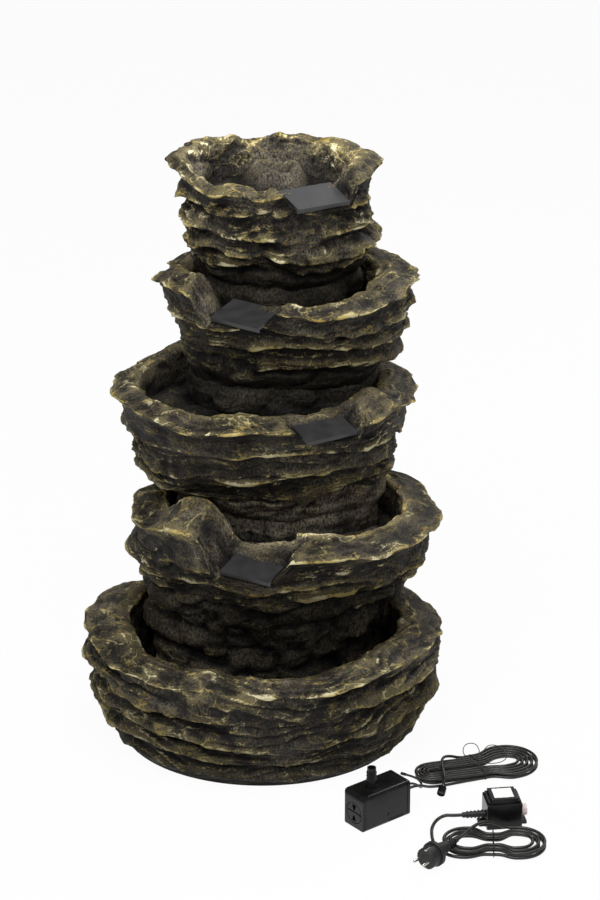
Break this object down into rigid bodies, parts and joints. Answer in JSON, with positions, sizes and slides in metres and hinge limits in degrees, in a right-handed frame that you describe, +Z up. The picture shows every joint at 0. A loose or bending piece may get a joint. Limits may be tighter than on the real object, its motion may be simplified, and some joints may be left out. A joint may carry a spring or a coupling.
{
  "type": "garden fountain",
  "caption": "Tall rock cascade fountain of stacked cast bowls, each with a pool and a spout over the one below, with a submersible pump, a plug-in transformer and their leads.",
  "frame": {"origin": "on the floor under the middle of the basin, on the basin's flat underside", "axes": "+Z up, -Y towards the front where the pools face, +X to the viewer's right"},
  "size_m": [0.7983, 0.8184, 1.0632],
  "materials": {
    "cast_rock": "matt cast resin stone, dry-brushed ochre on its edges",
    "spout_resin": "satin",
    "black_rubber": "matt",
    "hose_pvc": "satin",
    "pump_abs": "satin",
    "dial_abs": "satin",
    "impeller_plastic": "satin",
    "bush_ceramic": "polished",
    "core_steel": "laminated",
    "copper_wire": "enamelled",
    "transformer_abs": "satin",
    "clear_cap": "translucent",
    "plug_rubber": "satin",
    "plug_brass": "nickel plated",
    "lead_rubber": "satin",
    "tie_plastic": "satin",
    "connector_plastic": "satin"
  },
  "bodies": {
    "fountain": {"base_basin": "cast_rock", "bowl_lower": "cast_rock", "bowl_middle": "cast_rock", "bowl_upper": "cast_rock", "bowl_top": "cast_rock", "spout_lower": "spout_resin", "spout_middle": "spout_resin", "spout_upper": "spout_resin", "spout_top": "spout_resin", "hose_seal_lower": "black_rubber", "hose_seal_middle": "black_rubber", "hose_seal_upper": "black_rubber", "hose_seal_top": "black_rubber", "volute_seal": "black_rubber", "pump_lead_gland": "black_rubber", "light_lead_gland": "black_rubber", "mains_gland": "black_rubber", "plug_strain_relief": "black_rubber", "light_lead_cap": "black_rubber", "riser_hose": "hose_pvc", "pump_casing": "pump_abs", "pump_rear_cap": "pump_abs", "hose_nozzle": "pump_abs", "pump_motor_block": "pump_abs", "volute_cover": "pump_abs", "shaft_bush_front": "bush_ceramic", "shaft_bush_rear": "bush_ceramic", "impeller_shaft": "bush_ceramic", "motor_stator": "core_steel", "transformer_core": "core_steel", "motor_coils": "copper_wire", "transformer_winding": "copper_wire", "transformer_base": "transformer_abs", "transformer_case": "transformer_abs", "transformer_lid": "transformer_abs", "output_socket": "transformer_abs", "output_cap": "clear_cap", "plug_body": "plug_rubber", "plug_pins": "plug_brass", "plug_earth_contacts": "plug_brass", "pump_lead_hank": "lead_rubber", "mains_lead_hank": "lead_rubber", "pump_lead_start": "lead_rubber", "pump_lead_tail": "lead_rubber", "light_lead": "lead_rubber", "mains_lead_start": "lead_rubber", "mains_lead_tail": "lead_rubber", "pump_lead_tie": "tie_plastic", "mains_lead_tie": "tie_plastic", "lead_connector": "connector_plastic"},
    "dial": {"regulator_dial": "dial_abs"},
    "impeller_wheel": {"impeller": "impeller_plastic"},
    "nut": {"connector_nut": "connector_plastic"}
  },
  "joints": [
    {"name": "impeller_spin", "type": "hinge", "parent": "fountain", "child": "impeller_wheel", "pos_m": [0.17, -0.3639, 0.031], "axis": [0.7804, 0.6252, 0], "continuous": true},
    {"name": "dial_turn", "type": "hinge", "parent": "fountain", "child": "dial", "pos_m": [0.15283, -0.37766, 0.027], "axis": [0.7804, 0.6252, 0], "range_deg": [0, 90]},
    {"name": "nut_spin", "type": "hinge", "parent": "fountain", "child": "nut", "pos_m": [0.306, -0.262, 0.014], "axis": [-0.2556, -0.8913, -0.3746], "continuous": true}
  ]
}
